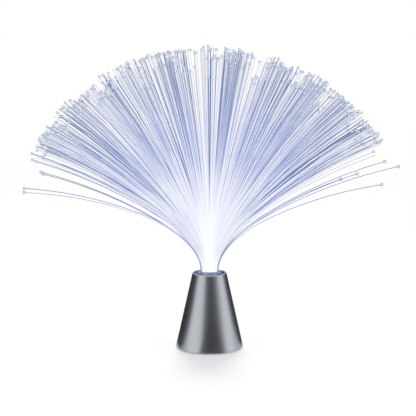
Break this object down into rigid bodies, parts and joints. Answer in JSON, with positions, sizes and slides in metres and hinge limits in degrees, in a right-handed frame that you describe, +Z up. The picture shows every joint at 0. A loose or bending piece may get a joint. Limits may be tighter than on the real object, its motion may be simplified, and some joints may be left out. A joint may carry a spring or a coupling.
{
  "type": "fiber optic lamp",
  "caption": "Battery lamp with a silver cone base and a wide, shallow fan of glowing light fibres that plugs into a dished socket in its top.",
  "frame": {"origin": "on the floor under the centre of the cone-shaped base, which is within 2 mm of the centre of the whole", "axes": "+Z up along the base's axis, +X along the wide side of the fan, -Y towards the front"},
  "size_m": [0.3929, 0.2024, 0.3186],
  "materials": {
    "satin_silver": "satin silver metallic lacquer on a moulded plastic shell",
    "bright_silver": "bright metallised plastic",
    "white_plastic": "white moulded plastic",
    "black_plastic": "fine-textured black moulded plastic",
    "zinc_steel": "zinc-plated steel",
    "grey_rubber": "soft dark grey rubber",
    "cell_can": "plain wrapped cell with bare metal ends",
    "tinned_steel": "tin-plated spring steel",
    "board_green": "green lacquered circuit board",
    "clear_plastic": "clear moulded lens",
    "lamp_red": "tinted clear resin",
    "lamp_green": "tinted clear resin",
    "lamp_blue": "tinted clear resin",
    "component_black": "black moulded component",
    "wire_red": "red insulation",
    "wire_black": "black insulation",
    "ferrule_metal": "turned aluminium",
    "light_fibre": "clear acrylic fibre that glows blue-white and shines at its cut end"
  },
  "bodies": {
    "base": {"base_plate": "black_plastic", "base_screws": "zinc_steel", "battery_cell_1": "cell_can", "battery_cell_2": "cell_can", "battery_cell_3": "cell_can", "battery_lead_black": "wire_black", "battery_lead_red": "wire_red", "board_screws": "zinc_steel", "cone_housing": "satin_silver", "contact_springs": "tinned_steel", "driver_chip": "component_black", "front_bridge_contact": "tinned_steel", "led_blue": "lamp_blue", "led_board": "board_green", "led_green": "lamp_green", "led_leads": "tinned_steel", "led_red": "lamp_red", "lens_disc": "clear_plastic", "light_chamber": "white_plastic", "negative_contact": "tinned_steel", "positive_contact": "tinned_steel", "rear_bridge_contact": "tinned_steel", "resistors": "component_black", "retaining_nut": "white_plastic", "rubber_feet": "grey_rubber", "socket_collar": "bright_silver", "switch_case": "black_plastic", "switch_lead_red": "wire_red", "switch_lugs": "tinned_steel", "switch_screws": "zinc_steel"},
    "door": {"battery_door": "black_plastic"},
    "knob": {"switch_knob": "black_plastic"},
    "bush": {"spray_bush": "bright_silver"},
    "spray": {"ferrule": "ferrule_metal", "fibres_01": "light_fibre", "fibres_02": "light_fibre", "fibres_03": "light_fibre", "fibres_04": "light_fibre", "fibres_05": "light_fibre", "fibres_06": "light_fibre", "fibres_07": "light_fibre", "fibres_08": "light_fibre", "fibres_09": "light_fibre", "fibres_10": "light_fibre", "fibres_11": "light_fibre", "fibres_12": "light_fibre", "fibres_13": "light_fibre", "fibres_14": "light_fibre", "fibres_15": "light_fibre", "fibres_16": "light_fibre", "fibres_17": "light_fibre", "fibres_18": "light_fibre"}
  },
  "joints": [
    {"name": "battery_door_hinge", "type": "hinge", "parent": "base", "child": "door", "pos_m": [0, -0.02425, 0.0017], "axis": [-1, 0, 0], "range_deg": [0, 90]},
    {"name": "switch_slide", "type": "slide", "parent": "base", "child": "knob", "axis": [0, 1, 0], "range_m": [0, 0.003]},
    {"name": "spray_lift", "type": "slide", "parent": "base", "child": "bush", "axis": [0, 0, 1], "range_m": [0, 0.025]},
    {"name": "spray_turn", "type": "hinge", "parent": "bush", "child": "spray", "pos_m": [0, 0, 0.068], "axis": [0, 0, 1], "continuous": true}
  ]
}
